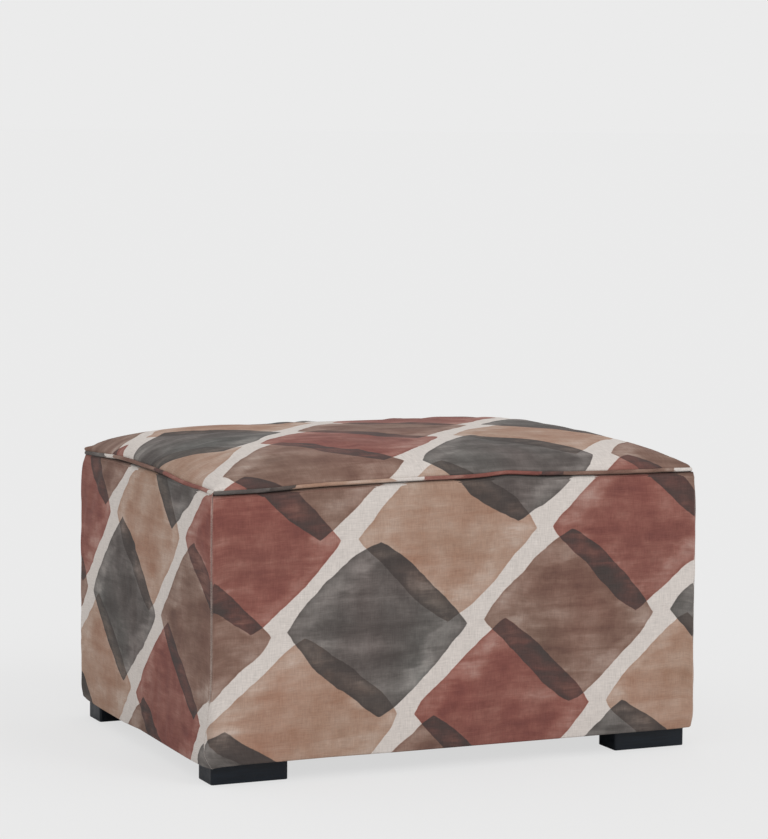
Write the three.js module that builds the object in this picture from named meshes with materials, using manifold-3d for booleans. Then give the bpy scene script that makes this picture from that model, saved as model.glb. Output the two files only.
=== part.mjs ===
// A tuffet: a box footstool upholstered all over, with a crowned top inside a piped seam, on four low block feet.
// Millimetres, +Z up. The origin is on the floor, under the middle of the stool.
// +X runs along the width, and -Y faces the front. Left and right are as seen from the front.
import * as THREE from "three";
import { mergeVertices } from "three/addons/utils/BufferGeometryUtils.js";
import Module from "manifold-3d";

const wasm = await Module();
wasm.setup();

// Overall size, over the fabric
const width = 610;
const depth = 457;
const baseHeight = 23.5; // floor to the lowest fold of the cover
const seamHeight = 328; // floor to the piped seam, at its corners
const seamArch = 6.5; // how much higher the seam runs between its corners
const seamInset = 5.3; // the seam is drawn in by this on every side
const crownHeight = 31.5; // how far the top swells over the piping
const cornerLift = 3; // how much more the top stands up in its corners, which are sewn square
const cornerLiftReach = 40;
const sideBulge = 1.5; // how far the sides swell just under the piping
const cornerRound = 6; // upright corners, over the fabric

// Fits: between pieces that touch, and how far a cutting tool runs past a face
const clearance = 0.3;
const overrun = 5;

// Cover: four side panels turned under at the base, and the top panel
const coverThickness = 1.5;
const turnUnder = 22;
const foldRadius = 2.5;
const sharpRound = 0.4; // an inner corner that is all but square

// Piping: a cord in a folded strip, whose tail lies behind the side panel
const pipingRadius = 2.4;
const pipingWrap = 0.6;
const pipingTail = 10;

// Padding, wadding and foam
const sidePadding = 4;
const waddingSide = 6;
const waddingTop = 10;

// Timber frame
const deckHeight = 262; // floor to the top of the frame
const boardThickness = 3;
const postWidth = 32;
const railThickness = 19;
const railHeight = 60;
const braceHeight = 45;
const cornerBlockLength = 60;
const cornerBlockDepth = 50;
const cornerBlockHeight = 35;

// Webbing, platform cloth and dust cover
const strapWidth = 50;
const strapThickness = 2;
const strapEnd = 6; // from the frame's outer face to the strap's end
const strapRamp = 14; // length over which a strap climbs to pass another
const strapMargin = 3; // how much further than the other strap it stays up
const platformThickness = 1;
const platformInset = 3;
const dustCoverThickness = 0.8;
const dustCoverInset = 15;

// Feet: each a block with two screws and a nailed-on glide
const footLength = 92;
const footDepth = 42.2;
const footSideInset = 5.6;
const footFrontInset = 13;
const footCornerRound = 3;
const footChamfer = 0.5;
const screwSpacing = 50;
const screwStagger = 12;
const screwRecess = 8;
const screwLength = 45;
const screwRadius = 2.3;
const screwHeadRadius = 4.6;
const screwHeadHeight = 3;
const screwPoint = 6;
const glideRadius = 11;
const glideProud = 0.5; // how far the glide stands below the foot
const glideSunk = 2.4; // how far its disc is let into the foot
const glidePinRadius = 1.4;
const glidePinLength = 11;
const glideEdge = 0.4;

// Shapes of the swelling surfaces, as powers of the place's share of the stool's half sizes
const crownPowerAcross = 5.6;
const crownPowerBack = 4.2;
const crownPower = 0.525;
const archPower = 2;
const bulgePower = 3.5;
const pinchPower = 30;

// Facets and repeats
const cornerSteps = 2; // in half a corner
const longSteps = 8;
const shortSteps = 6;
const crownSteps = 6;
const crownStepPower = 2.4; // crowds the crown's rings towards the seam, where it is steepest
const crownReachShare = 0.8; // the last ring's inset, as a share of half the depth
const wrapSteps = 7;
const cordSides = 6;
const roundSides = 12;
const glideSides = 24;
const longStraps = 3;
const crossStraps = 4;
const weldDistance = 1e-4;

// Heights that follow
const frameBase = baseHeight + coverThickness + clearance;
const dustCoverTop = baseHeight - clearance;
const footTop = dustCoverTop - dustCoverThickness - clearance;
const wallBottom = baseHeight + foldRadius;
const strapLow = deckHeight + clearance;
const strapHigh = strapLow + strapThickness + clearance;
const platformBottom = strapHigh + strapThickness + clearance;
const foamBottom = platformBottom + platformThickness + clearance;
const screwBottom = glideProud + screwRecess;
const screwTop = screwBottom + screwLength;

// Insets that follow, each from the cover's outer face at the base
const paddingInset = coverThickness + clearance;
const boardInset = paddingInset + sidePadding + clearance;
const frameInset = boardInset + boardThickness + clearance;
const topInset = seamInset + coverThickness;
const tailInset = topInset + clearance;
const waddingInset = tailInset + pipingWrap + clearance;
const foamInset = waddingInset + waddingSide + clearance;
const cordRadius = pipingRadius - pipingWrap - clearance;

// Half sizes of the frame, over its outer faces
const frameHalfWidth = width / 2 - frameInset;
const frameHalfDepth = depth / 2 - frameInset;

const quarterTurn = Math.PI / 2;
const sides = [
  { name: "front", half: width / 2, reach: depth / 2, steps: longSteps, turn: 0 },
  { name: "right", half: depth / 2, reach: width / 2, steps: shortSteps, turn: quarterTurn },
  { name: "back", half: width / 2, reach: depth / 2, steps: longSteps, turn: 2 * quarterTurn },
  { name: "left", half: depth / 2, reach: width / 2, steps: shortSteps, turn: 3 * quarterTurn },
];
const corners = [
  { name: "front_left", x: -1, y: -1 },
  { name: "front_right", x: 1, y: -1 },
  { name: "back_left", x: -1, y: 1 },
  { name: "back_right", x: 1, y: 1 },
];

const stool = new THREE.Group();
stool.name = "tuffet";

const finishes = {
  cover: { color: 0xb39a8b, roughness: 0.92 },
  piping: { color: 0x8a5f52, roughness: 0.92 },
  cord: { color: 0xe6dfd0, roughness: 0.9 },
  padding: { color: 0xf2f1ec, roughness: 0.95 },
  foam: { color: 0xe7d9a8, roughness: 0.95 },
  board: { color: 0x7b5638, roughness: 0.8 },
  timber: { color: 0xd6b27c, roughness: 0.75 },
  webbing: { color: 0x3a3a3c, roughness: 0.85 },
  hessian: { color: 0xb79a6b, roughness: 0.95 },
  lining: { color: 0x1d1d1f, roughness: 0.95 },
  foot: { color: 0x23262b, roughness: 0.45 },
  glide: { color: 0x303236, roughness: 0.5 },
  steel: { color: 0xb9bcc0, roughness: 0.35, metalness: 1 },
};

// Names a piece, gives it a material of its own and adds it to the stool.
function addPiece(name, geometry, finish) {
  const mesh = new THREE.Mesh(geometry, new THREE.MeshStandardMaterial(finishes[finish]));
  mesh.name = name;
  stool.add(mesh);
  return mesh;
}

// A geometry's points and triangles, with shared points welded and collapsed triangles left out.
function weld(geometry) {
  const bare = new THREE.BufferGeometry();
  bare.setAttribute("position", geometry.getAttribute("position"));
  bare.setIndex(geometry.index);
  const welded = mergeVertices(bare, weldDistance);
  const kept = [];
  for (let i = 0; i < welded.index.count; i += 3) {
    const [a, b, c] = [0, 1, 2].map((k) => welded.index.getX(i + k));
    if (a !== b && b !== c && c !== a) kept.push(a, b, c);
  }
  welded.setIndex(kept);
  return welded;
}

// Six times the volume inside a welded geometry, negative where its faces point in.
function signedVolume(geometry) {
  const at = (i) => new THREE.Vector3().fromBufferAttribute(geometry.attributes.position, i);
  let sum = 0;
  for (let i = 0; i < geometry.index.count; i += 3) {
    const [a, b, c] = [0, 1, 2].map((k) => at(geometry.index.getX(i + k)));
    sum += a.dot(b.cross(c));
  }
  return sum;
}

// A closed geometry from a list of triangles of three points each, with its faces pointing out.
function closedSurface(triangles) {
  const loose = new THREE.BufferGeometry().setFromPoints(triangles.flat());
  const closed = weld(loose);
  if (signedVolume(closed) < 0) {
    closed.setIndex(Array.from(closed.index.array).reverse());
  }
  return closed;
}

// The triangles of a grid of points, each cell parted along its shorter diagonal.
// Its rows and its columns may run round and join up.
function gridTriangles(rows, rowsJoin, columnsJoin) {
  const triangles = [];
  const lastRow = rowsJoin ? rows.length : rows.length - 1;
  const columns = rows[0].length;
  const lastColumn = columnsJoin ? columns : columns - 1;
  for (let i = 0; i < lastRow; i++) {
    for (let j = 0; j < lastColumn; j++) {
      const next = rows[(i + 1) % rows.length];
      const k = (j + 1) % columns;
      const [a, b, c, d] = [rows[i][j], rows[i][k], next[k], next[j]];
      if (a.distanceTo(c) < b.distanceTo(d)) {
        triangles.push([a, b, c], [a, c, d]);
      } else {
        triangles.push([a, b, d], [b, c, d]);
      }
    }
  }
  return triangles;
}

// The triangles that close a ring of points towards its middle.
function capTriangles(ring) {
  const middle = ring.reduce((sum, p) => sum.add(p), new THREE.Vector3()).divideScalar(ring.length);
  return ring.map((p, i) => [middle, p, ring[(i + 1) % ring.length]]);
}

// Rings stacked into a solid that is closed at its first and last ring.
function stackedRings(rings) {
  const first = capTriangles(rings[0].slice().reverse());
  const last = capTriangles(rings[rings.length - 1]);
  return closedSurface([...gridTriangles(rings, false, true), ...first, ...last]);
}

// A side's line in plan at an inset: half a corner, the straight stretch and half the next corner.
// Its ends stop short of the corner's diagonal by the given amount.
function sideLine(side, inset, round = cornerRound - inset, short = 0) {
  const radius = Math.max(round, sharpRound);
  const straight = side.half - inset - radius - short;
  const reach = side.reach - inset - radius;
  const line = [];
  for (const end of [-1, 1]) {
    for (let i = 0; i <= cornerSteps; i++) {
      const step = end < 0 ? i - cornerSteps : i;
      const angle = (step / cornerSteps) * (quarterTurn / 2);
      const along = end * straight + radius * Math.sin(angle);
      line.push(new THREE.Vector2(along, -reach - radius * Math.cos(angle)));
    }
    for (let i = 1; end < 0 && i < side.steps; i++) {
      const share = (2 * i) / side.steps - 1;
      line.push(new THREE.Vector2(share * straight, -reach - radius));
    }
  }
  return line.map((p) => p.rotateAround(new THREE.Vector2(), side.turn));
}

// The line round all four sides at an inset.
function ringLine(inset, round = cornerRound - inset) {
  return sides.flatMap((side) => sideLine(side, inset, round).slice(0, -1));
}

// Points over a line in plan, at heights given by a function of the place.
function raised(line, heightAt) {
  return line.map((p) => new THREE.Vector3(p.x, p.y, heightAt(p.x, p.y)));
}

// The height of the piped seam, carried on over the whole plan.
function seamAt(x, y) {
  const across = Math.min(Math.abs(x) / (width / 2 - seamInset), 1);
  const back = Math.min(Math.abs(y) / (depth / 2 - seamInset), 1);
  return seamHeight + seamArch * (1 - Math.pow(across * back, archPower));
}

// How far the crown has risen at a place inside the seam, as a share of its height.
function crownShareAt(p) {
  const across = Math.min(Math.abs(p.x) / (width / 2 - seamInset), 1);
  const back = Math.min(Math.abs(p.y) / (depth / 2 - seamInset), 1);
  const level = (1 - Math.pow(across, crownPowerAcross)) * (1 - Math.pow(back, crownPowerBack));
  return Math.pow(level, crownPower);
}

// How far each of the crown's rings lies inside the seam
const crownReach = (depth / 2) * crownReachShare;
const crownInsets = Array.from({ length: crownSteps + 1 }, (_, i) => {
  return crownReach * Math.pow(i / crownSteps, crownStepPower);
});

// The crown's rise at every point of its rings. The rounded corners start level with the edge.
const crownEdge = ringLine(seamInset).map(crownShareAt);
const crownShares = crownInsets.map((inset) => {
  const fade = Math.max(0, 1 - inset / cornerRound);
  return ringLine(seamInset + inset).map((p, k) => crownShareAt(p) - crownEdge[k] * fade);
});

// The lift in the corners at every point of the rings inside the edge.
const crownLifts = crownInsets.map((inset, i) => {
  return ringLine(seamInset + inset).map((p) => {
    const fromCorner = Math.hypot(width / 2 - seamInset - Math.abs(p.x), depth / 2 - seamInset - Math.abs(p.y));
    return i > 0 ? cornerLift * Math.exp(-Math.pow(fromCorner / cornerLiftReach, 2)) : 0;
  });
});

// The rings of a crowned layer, from its edge inwards, between the given lift and rise over the seam.
// Layers lie inside each other at their edges, and straight under each other in the middle.
function crownRings(edgeInset, lift, rise) {
  return crownInsets.map((inset, i) => {
    const line = ringLine(inset + THREE.MathUtils.lerp(edgeInset, seamInset, inset / crownReach));
    return line.map((p, k) => {
      const up = lift + rise * crownShares[i][k] + crownLifts[i][k];
      return new THREE.Vector3(p.x, p.y, seamAt(p.x, p.y) + up);
    });
  });
}

// The inset of a side's outer face at a share of its height: it swells high up and draws in to the seam.
function wallInset(share) {
  const swell = sideBulge * Math.sin(Math.PI * Math.pow(share, bulgePower));
  return seamInset * Math.pow(share, pinchPower) - swell;
}

// The height at a share of the side panel's wall, over a place in plan.
function wallHeight(share, x, y) {
  const top = seamAt(x, y) - pipingRadius - clearance;
  return wallBottom + share * (top - wallBottom);
}

// A sheet along one side, from the outer and inner points of its section, mitred at both ends.
function sideSheet(side, section) {
  const mitre = clearance / Math.SQRT2;
  const rowOf = ({ inset, round, heightAt }) => raised(sideLine(side, inset, round, mitre), heightAt);
  const outer = section.map((pair) => rowOf(pair.outer));
  const inner = section.map((pair) => rowOf(pair.inner));
  const triangles = gridTriangles([...outer, ...inner.slice().reverse()], true, false);
  const last = outer[0].length - 1;
  for (let i = 0; i + 1 < section.length; i++) {
    const start = [outer[i][0], outer[i + 1][0], inner[i + 1][0], inner[i][0]];
    const end = [outer[i][last], outer[i + 1][last], inner[i + 1][last], inner[i][last]];
    triangles.push([start[0], start[1], start[2]], [start[0], start[2], start[3]]);
    triangles.push([end[0], end[2], end[1]], [end[0], end[3], end[2]]);
  }
  return closedSurface(triangles);
}

// Shares of the wall's height at which the cover and the padding have a row of points.
// The padding ends at the last, under the tail of the piping.
const wall = seamHeight - pipingRadius - clearance - wallBottom;
const tailShare = 1 - (pipingTail + clearance) / wall;
const wallRowShares = [0, 0.3, 0.55, 0.7, 0.82, 0.92, tailShare];

// One side panel of the cover: turned under the frame, folded up and drawn in at the seam.
function addSideCover(side) {
  const inner = coverThickness;
  const bend = foldRadius * (1 - Math.SQRT1_2);
  const innerBend = inner + (foldRadius - inner) * (1 - Math.SQRT1_2);
  const place = (inset, z) => ({ inset, heightAt: () => z });
  const section = [
    { outer: place(turnUnder, baseHeight), inner: place(turnUnder, baseHeight + inner) },
    { outer: place(foldRadius, baseHeight), inner: place(foldRadius, baseHeight + inner) },
    { outer: place(bend, baseHeight + bend), inner: place(innerBend, baseHeight + innerBend) },
  ];
  for (const share of [...wallRowShares, 1]) {
    const heightAt = (x, y) => wallHeight(share, x, y);
    const inset = wallInset(share);
    section.push({ outer: { inset, heightAt }, inner: { inset: inset + inner, heightAt } });
  }
  addPiece(`${side.name}_cover`, sideSheet(side, section), "cover");
}

// The padding of one side: flat against the board, and following the cover outside.
function addSidePadding(side) {
  const section = wallRowShares.map((share) => {
    const heightAt = (x, y) => wallHeight(share, x, y) + clearance * (1 - share);
    const outer = { inset: wallInset(share) + paddingInset, heightAt };
    return { outer, inner: { inset: boardInset - clearance, round: sharpRound, heightAt } };
  });
  addPiece(`${side.name}_padding`, sideSheet(side, section), "padding");
}

// The top panel of the cover, crowned, down to the piping.
function addTopCover() {
  const lift = pipingRadius + clearance;
  const outside = crownRings(seamInset, lift, crownHeight);
  const inside = crownRings(topInset, lift, crownHeight - coverThickness);
  addPiece("top_cover", stackedRings([...outside.reverse(), ...inside]), "cover");
}

// How far each crowned layer under the cover rises over the seam
const waddingRise = crownHeight - coverThickness + pipingRadius;
const foamRise = waddingRise - waddingTop - clearance;

// The wadding: over the foam and down its sides.
function addWadding() {
  const outside = crownRings(waddingInset, 0, waddingRise);
  const inside = crownRings(waddingInset + waddingSide, 0, waddingRise - waddingTop);
  const outerHem = raised(ringLine(waddingInset), () => foamBottom);
  const innerHem = raised(ringLine(waddingInset + waddingSide), () => foamBottom);
  const rings = [...outside.reverse(), outerHem, innerHem, ...inside];
  addPiece("seat_wadding", stackedRings(rings), "padding");
}

// The foam block, crowned on top and flat underneath.
function addFoam() {
  const outside = crownRings(foamInset, 0, foamRise);
  const base = raised(ringLine(foamInset), () => foamBottom);
  addPiece("seat_foam", stackedRings([...outside.reverse(), base]), "foam");
}

// A ring with the given section, whose points are offsets in and up from the seam.
function seamRing(section) {
  const rows = section.map(([inwards, up]) => {
    return raised(ringLine(seamInset + inwards), (x, y) => seamAt(x, y) + up);
  });
  return closedSurface(gridTriangles(rows, true, true));
}

// The strip wrapped round the piping cord. It is open along the root of its tail.
function addPipingStrip() {
  const innerRadius = pipingRadius - pipingWrap;
  const tailOuter = tailInset - seamInset;
  const tailInner = tailOuter + pipingWrap;
  const start = -Math.acos(tailOuter / pipingRadius);
  const slit = 2 * Math.asin(pipingWrap / 2 / pipingRadius);
  const end = start + slit - 2 * Math.PI;
  const onArc = (radius, share) => {
    const angle = THREE.MathUtils.lerp(start, end, share);
    return [radius * Math.cos(angle), radius * Math.sin(angle)];
  };
  const shares = Array.from({ length: wrapSteps + 1 }, (_, i) => i / wrapSteps);
  const innerShares = shares.slice(1).reverse();
  const rootUp = pipingRadius * Math.sin(start) + pipingWrap / 2;
  const rootIn = Math.sqrt(innerRadius * innerRadius - rootUp * rootUp);
  const section = [
    [tailOuter, -pipingRadius - pipingTail],
    ...shares.map((share) => onArc(pipingRadius, share)),
    ...innerShares.map((share) => onArc(innerRadius, share)),
    [rootIn, rootUp],
    [tailInner, rootUp],
    [tailInner, -pipingRadius - pipingTail],
  ];
  addPiece("piping_strip", seamRing(section), "piping");
}

// The cord inside the piping.
function addPipingCord() {
  const section = Array.from({ length: cordSides }, (_, i) => {
    const angle = (i / cordSides) * 2 * Math.PI;
    return [cordRadius * Math.cos(angle), cordRadius * Math.sin(angle)];
  });
  addPiece("piping_cord", seamRing(section), "cord");
}

// A square-edged piece between two opposite corners, each given as x, y and z.
function slab(low, high) {
  const size = high.map((value, i) => value - low[i]);
  const geometry = new THREE.BoxGeometry(...size);
  return geometry.translate(...low.map((value, i) => value + size[i] / 2));
}

// The hardboard skins: front and back run the whole width, and the ends fit between them.
function addBoards() {
  const x = width / 2 - boardInset;
  const y = depth / 2 - boardInset;
  const inX = x - boardThickness;
  const inY = y - boardThickness;
  const endY = inY - clearance;
  addPiece("front_board", slab([-x, -y, frameBase], [x, -inY, deckHeight]), "board");
  addPiece("back_board", slab([-x, inY, frameBase], [x, y, deckHeight]), "board");
  addPiece("left_board", slab([-x, -endY, frameBase], [-inX, endY, deckHeight]), "board");
  addPiece("right_board", slab([inX, -endY, frameBase], [x, endY, deckHeight]), "board");
}

// The rails between the posts, flush with their outer faces, at the top and the bottom of the frame.
function addRails() {
  const spanX = frameHalfWidth - postWidth - clearance;
  const spanY = frameHalfDepth - postWidth - clearance;
  const inX = frameHalfWidth - railThickness;
  const inY = frameHalfDepth - railThickness;
  const levels = [
    { name: "top", low: deckHeight - railHeight },
    { name: "bottom", low: frameBase },
  ];
  for (const { name, low } of levels) {
    const high = low + railHeight;
    const front = slab([-spanX, -frameHalfDepth, low], [spanX, -inY, high]);
    const back = slab([-spanX, inY, low], [spanX, frameHalfDepth, high]);
    const left = slab([-frameHalfWidth, -spanY, low], [-inX, spanY, high]);
    const right = slab([inX, -spanY, low], [frameHalfWidth, spanY, high]);
    addPiece(`${name}_rail_front`, front, "timber");
    addPiece(`${name}_rail_back`, back, "timber");
    addPiece(`${name}_rail_left`, left, "timber");
    addPiece(`${name}_rail_right`, right, "timber");
  }
}

// The brace between the front and back bottom rails.
function addBrace() {
  const y = frameHalfDepth - railThickness - clearance;
  const x = railThickness / 2;
  addPiece("bottom_brace", slab([-x, -y, frameBase], [x, y, frameBase + braceHeight]), "timber");
}

// A three.js geometry as a solid for cutting, and back.
function toSolid(geometry) {
  const welded = weld(geometry);
  const vertProperties = new Float32Array(welded.attributes.position.array);
  const triVerts = new Uint32Array(welded.index.array);
  return new wasm.Manifold(new wasm.Mesh({ numProp: 3, vertProperties, triVerts }));
}

function toGeometry(solid) {
  const mesh = solid.getMesh();
  const geometry = new THREE.BufferGeometry();
  geometry.setAttribute("position", new THREE.BufferAttribute(mesh.vertProperties, 3));
  geometry.setIndex(new THREE.BufferAttribute(mesh.triVerts, 1));
  return geometry;
}

function cut(geometry, tools) {
  const solid = tools.reduce((left, tool) => left.subtract(toSolid(tool)), toSolid(geometry));
  return toGeometry(solid);
}

// An upright cylinder over a place, between two heights.
function upright(radius, sideCount, place, low, high) {
  const cylinder = new THREE.CylinderGeometry(radius, radius, high - low, sideCount);
  return cylinder.rotateX(quarterTurn).translate(place.x, place.y, (low + high) / 2);
}

// A corner's foot is centred here, and its screws go into the post and into the corner block.
function footPlace(corner) {
  return {
    x: corner.x * (width / 2 - footSideInset - footLength / 2),
    y: corner.y * (depth / 2 - footFrontInset - footDepth / 2),
  };
}

function screwPlace(corner, outwards) {
  const foot = footPlace(corner);
  return {
    x: foot.x + (corner.x * outwards * screwSpacing) / 2,
    y: foot.y + (corner.y * outwards * screwStagger) / 2,
  };
}

const screwRows = [
  { name: "post", outwards: 1 },
  { name: "block", outwards: -1 },
];

// The hole that a screw bites into, from below a piece up to just over its point.
function screwHole(corner, outwards, from) {
  const place = screwPlace(corner, outwards);
  return upright(screwRadius + clearance, roundSides, place, from - overrun, screwTop + clearance);
}

// A corner post, with the hole of one foot screw.
function addPost(corner) {
  const x = [frameHalfWidth - postWidth, frameHalfWidth].map((value) => value * corner.x);
  const y = [frameHalfDepth - postWidth, frameHalfDepth].map((value) => value * corner.y);
  const low = [Math.min(...x), Math.min(...y), frameBase];
  const high = [Math.max(...x), Math.max(...y), deckHeight];
  const post = cut(slab(low, high), [screwHole(corner, 1, frameBase)]);
  addPiece(`post_${corner.name}`, post, "timber");
}

// The block in the angle of post and rail that takes the foot's other screw.
function addCornerBlock(corner) {
  const outerX = frameHalfWidth - postWidth - clearance;
  const outerY = frameHalfDepth - railThickness - clearance;
  const x = [outerX - cornerBlockLength, outerX].map((value) => value * corner.x);
  const y = [outerY - cornerBlockDepth, outerY].map((value) => value * corner.y);
  const low = [Math.min(...x), Math.min(...y), frameBase];
  const high = [Math.max(...x), Math.max(...y), frameBase + cornerBlockHeight];
  const block = cut(slab(low, high), [screwHole(corner, -1, frameBase)]);
  addPiece(`corner_block_${corner.name}`, block, "timber");
}

// The webbing: straps both ways, woven over and under, with their ends down on the rails.
function strapAcross(halfLength, crossings, isUp) {
  const heights = [[-halfLength, strapLow]];
  crossings.forEach((place, i) => {
    if (!isUp(i)) return;
    const flat = strapWidth / 2 + strapMargin;
    heights.push([place - flat - strapRamp, strapLow], [place - flat, strapHigh]);
    heights.push([place + flat, strapHigh], [place + flat + strapRamp, strapLow]);
  });
  heights.push([halfLength, strapLow]);
  const top = heights.map(([along, up]) => new THREE.Vector2(along, up + strapThickness));
  const bottom = heights.map(([along, up]) => new THREE.Vector2(along, up)).reverse();
  const outline = new THREE.Shape([...top, ...bottom]);
  const strap = new THREE.ExtrudeGeometry(outline, { depth: strapWidth, bevelEnabled: false });
  return strap.translate(0, 0, -strapWidth / 2).rotateX(quarterTurn);
}

function spread(count, halfSpan) {
  return Array.from({ length: count }, (_, i) => halfSpan * ((2 * (i + 1)) / (count + 1) - 1));
}

function addWebbing() {
  const placesY = spread(longStraps, frameHalfDepth);
  const placesX = spread(crossStraps, frameHalfWidth);
  placesY.forEach((y, i) => {
    const strap = strapAcross(frameHalfWidth - strapEnd, placesX, (k) => (i + k) % 2 === 0);
    addPiece(`webbing_long_${i + 1}`, strap.translate(0, y, 0), "webbing");
  });
  placesX.forEach((x, k) => {
    const strap = strapAcross(frameHalfDepth - strapEnd, placesY, (i) => (i + k) % 2 === 1);
    addPiece(`webbing_cross_${k + 1}`, strap.rotateZ(quarterTurn).translate(x, 0, 0), "webbing");
  });
}

// The hessian sheet between the webbing and the foam.
function addPlatformCloth() {
  const x = frameHalfWidth - platformInset;
  const y = frameHalfDepth - platformInset;
  const high = platformBottom + platformThickness;
  addPiece("platform_cloth", slab([-x, -y, platformBottom], [x, y, high]), "hessian");
}

// The dust cover over the base, pierced by the foot screws.
function addDustCover() {
  const x = width / 2 - dustCoverInset;
  const y = depth / 2 - dustCoverInset;
  const low = dustCoverTop - dustCoverThickness;
  const holes = corners.flatMap((corner) => screwRows.map((row) => screwHole(corner, row.outwards, low)));
  addPiece("dust_cover", cut(slab([-x, -y, low], [x, y, dustCoverTop]), holes), "lining");
}

// A rectangle with rounded corners, centred on the origin.
function roundedRectangle(length, breadth, round) {
  const x = length / 2 - round;
  const y = breadth / 2 - round;
  const outline = new THREE.Shape();
  outline.absarc(x, y, round, 0, quarterTurn);
  outline.absarc(-x, y, round, quarterTurn, 2 * quarterTurn);
  outline.absarc(-x, -y, round, 2 * quarterTurn, 3 * quarterTurn);
  outline.absarc(x, -y, round, 3 * quarterTurn, 4 * quarterTurn);
  return outline;
}

// A foot: a block with softened edges, bored for its screws and let in for its glide.
function addFoot(corner) {
  const place = footPlace(corner);
  const outline = roundedRectangle(
    footLength - 2 * footChamfer,
    footDepth - 2 * footChamfer,
    footCornerRound - footChamfer,
  );
  const block = new THREE.ExtrudeGeometry(outline, {
    depth: footTop - glideProud - 2 * footChamfer,
    bevelThickness: footChamfer,
    bevelSize: footChamfer,
    bevelSegments: 1,
    curveSegments: 3,
  });
  block.translate(place.x, place.y, glideProud + footChamfer);
  const tools = screwRows.flatMap((row) => {
    const screw = screwPlace(corner, row.outwards);
    const headTop = screwBottom + screwHeadHeight + clearance;
    return [
      upright(screwRadius + clearance, roundSides, screw, 0, footTop + overrun),
      upright(screwHeadRadius + clearance, roundSides, screw, -overrun, headTop),
    ];
  });
  const discTop = glideProud + glideSunk + clearance;
  tools.push(upright(glideRadius + clearance, glideSides, place, -overrun, discTop));
  const pinTop = glideProud + glideSunk + glidePinLength + clearance;
  tools.push(upright(glidePinRadius + clearance, roundSides, place, 0, pinTop));
  addPiece(`foot_${corner.name}`, cut(block, tools), "foot");
}

// A shape turned round a vertical axis at a place, from its outline's radii and heights.
function turned(outline, sideCount, place) {
  const points = outline.map(([radius, height]) => new THREE.Vector2(radius, height));
  const lathe = new THREE.LatheGeometry(points, sideCount);
  return weld(lathe.rotateX(quarterTurn).translate(place.x, place.y, 0));
}

// A glide: a disc that stands a little below the foot, with the pin that is driven into the wood.
function addGlide(corner) {
  const discTop = glideProud + glideSunk;
  const pinTop = discTop + glidePinLength;
  const outline = [
    [0, 0],
    [glideRadius - glideEdge, 0],
    [glideRadius, glideEdge],
    [glideRadius, discTop],
    [glidePinRadius, discTop],
    [glidePinRadius, pinTop - glidePinRadius],
    [0, pinTop],
  ];
  addPiece(`glide_${corner.name}`, turned(outline, glideSides, footPlace(corner)), "glide");
}

// A countersunk wood screw, head down, through the foot into the frame.
function addScrew(corner, row) {
  const outline = [
    [0, screwBottom],
    [screwHeadRadius, screwBottom],
    [screwRadius, screwBottom + screwHeadHeight],
    [screwRadius, screwTop - screwPoint],
    [0, screwTop],
  ];
  const screw = turned(outline, roundSides, screwPlace(corner, row.outwards));
  addPiece(`foot_screw_${row.name}_${corner.name}`, screw, "steel");
}

addTopCover();
addPipingStrip();
addPipingCord();
addWadding();
addFoam();
for (const side of sides) {
  addSideCover(side);
  addSidePadding(side);
}
addBoards();
addRails();
addBrace();
addWebbing();
addPlatformCloth();
addDustCover();
for (const corner of corners) {
  addPost(corner);
  addCornerBlock(corner);
  addFoot(corner);
  addGlide(corner);
  screwRows.forEach((row) => addScrew(corner, row));
}

export default stool;
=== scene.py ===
"""A tuffet: a piped box footstool with a crowned top, in printed linen, on four low block feet.

Lengths are in metres, in the part's frame: X to the right, Y to the back, Z up, the floor at zero.
"""

import math
from collections import namedtuple

import bpy
import numpy as np
from mathutils import Matrix, Vector


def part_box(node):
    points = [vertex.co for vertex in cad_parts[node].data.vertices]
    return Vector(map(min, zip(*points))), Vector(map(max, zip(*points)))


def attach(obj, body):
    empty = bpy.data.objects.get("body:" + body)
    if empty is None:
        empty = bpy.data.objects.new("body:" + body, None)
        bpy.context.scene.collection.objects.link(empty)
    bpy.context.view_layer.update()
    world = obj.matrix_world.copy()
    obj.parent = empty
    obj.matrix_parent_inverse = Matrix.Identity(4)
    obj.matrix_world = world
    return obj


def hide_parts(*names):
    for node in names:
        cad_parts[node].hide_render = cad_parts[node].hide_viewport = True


MM = 0.001
QUARTER = math.pi / 2

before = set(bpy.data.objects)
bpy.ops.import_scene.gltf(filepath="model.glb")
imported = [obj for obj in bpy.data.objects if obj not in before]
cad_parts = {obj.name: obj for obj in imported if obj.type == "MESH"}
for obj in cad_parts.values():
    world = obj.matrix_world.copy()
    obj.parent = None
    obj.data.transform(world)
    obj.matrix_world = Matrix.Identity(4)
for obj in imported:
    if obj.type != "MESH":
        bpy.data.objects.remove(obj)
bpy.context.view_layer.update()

# The covered box, as in the part
HALF_X = 305 * MM
HALF_Y = 228.5 * MM
BASE = 23.5 * MM
SEAM_Z = 328 * MM
SEAM_ARCH = 6.5 * MM
SEAM_INSET = 5.3 * MM
CROWN = 31.5 * MM
BULGE = 1.9 * MM
CORNER = 5 * MM
SHARP = 0.4 * MM
PIPING = 2.4 * MM
PIPING_CORE = 1.5 * MM
TURN_UNDER = 22 * MM
FOLD = 2.5 * MM
FABRIC = 1.2 * MM
ARCH_POWER = 2
CROWN_POWER_X = 5.6
CROWN_POWER_Y = 4.2
CROWN_POWER = 0.525
BULGE_POWER = 3.5
BULGE_SPREAD = 6
CORNER_BULGE_SHARE = 0.45
PINCH_POWER = 30
DRAW_POWER = 8
FULL_POWER = 6

# The rectangle that the piped seam bounds, where the walls start, and their height
SEAM_X = HALF_X - SEAM_INSET
SEAM_Y = HALF_Y - SEAM_INSET
WALL_BOTTOM = BASE + FOLD
WALL_HEIGHT = SEAM_Z - PIPING - WALL_BOTTOM

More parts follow.
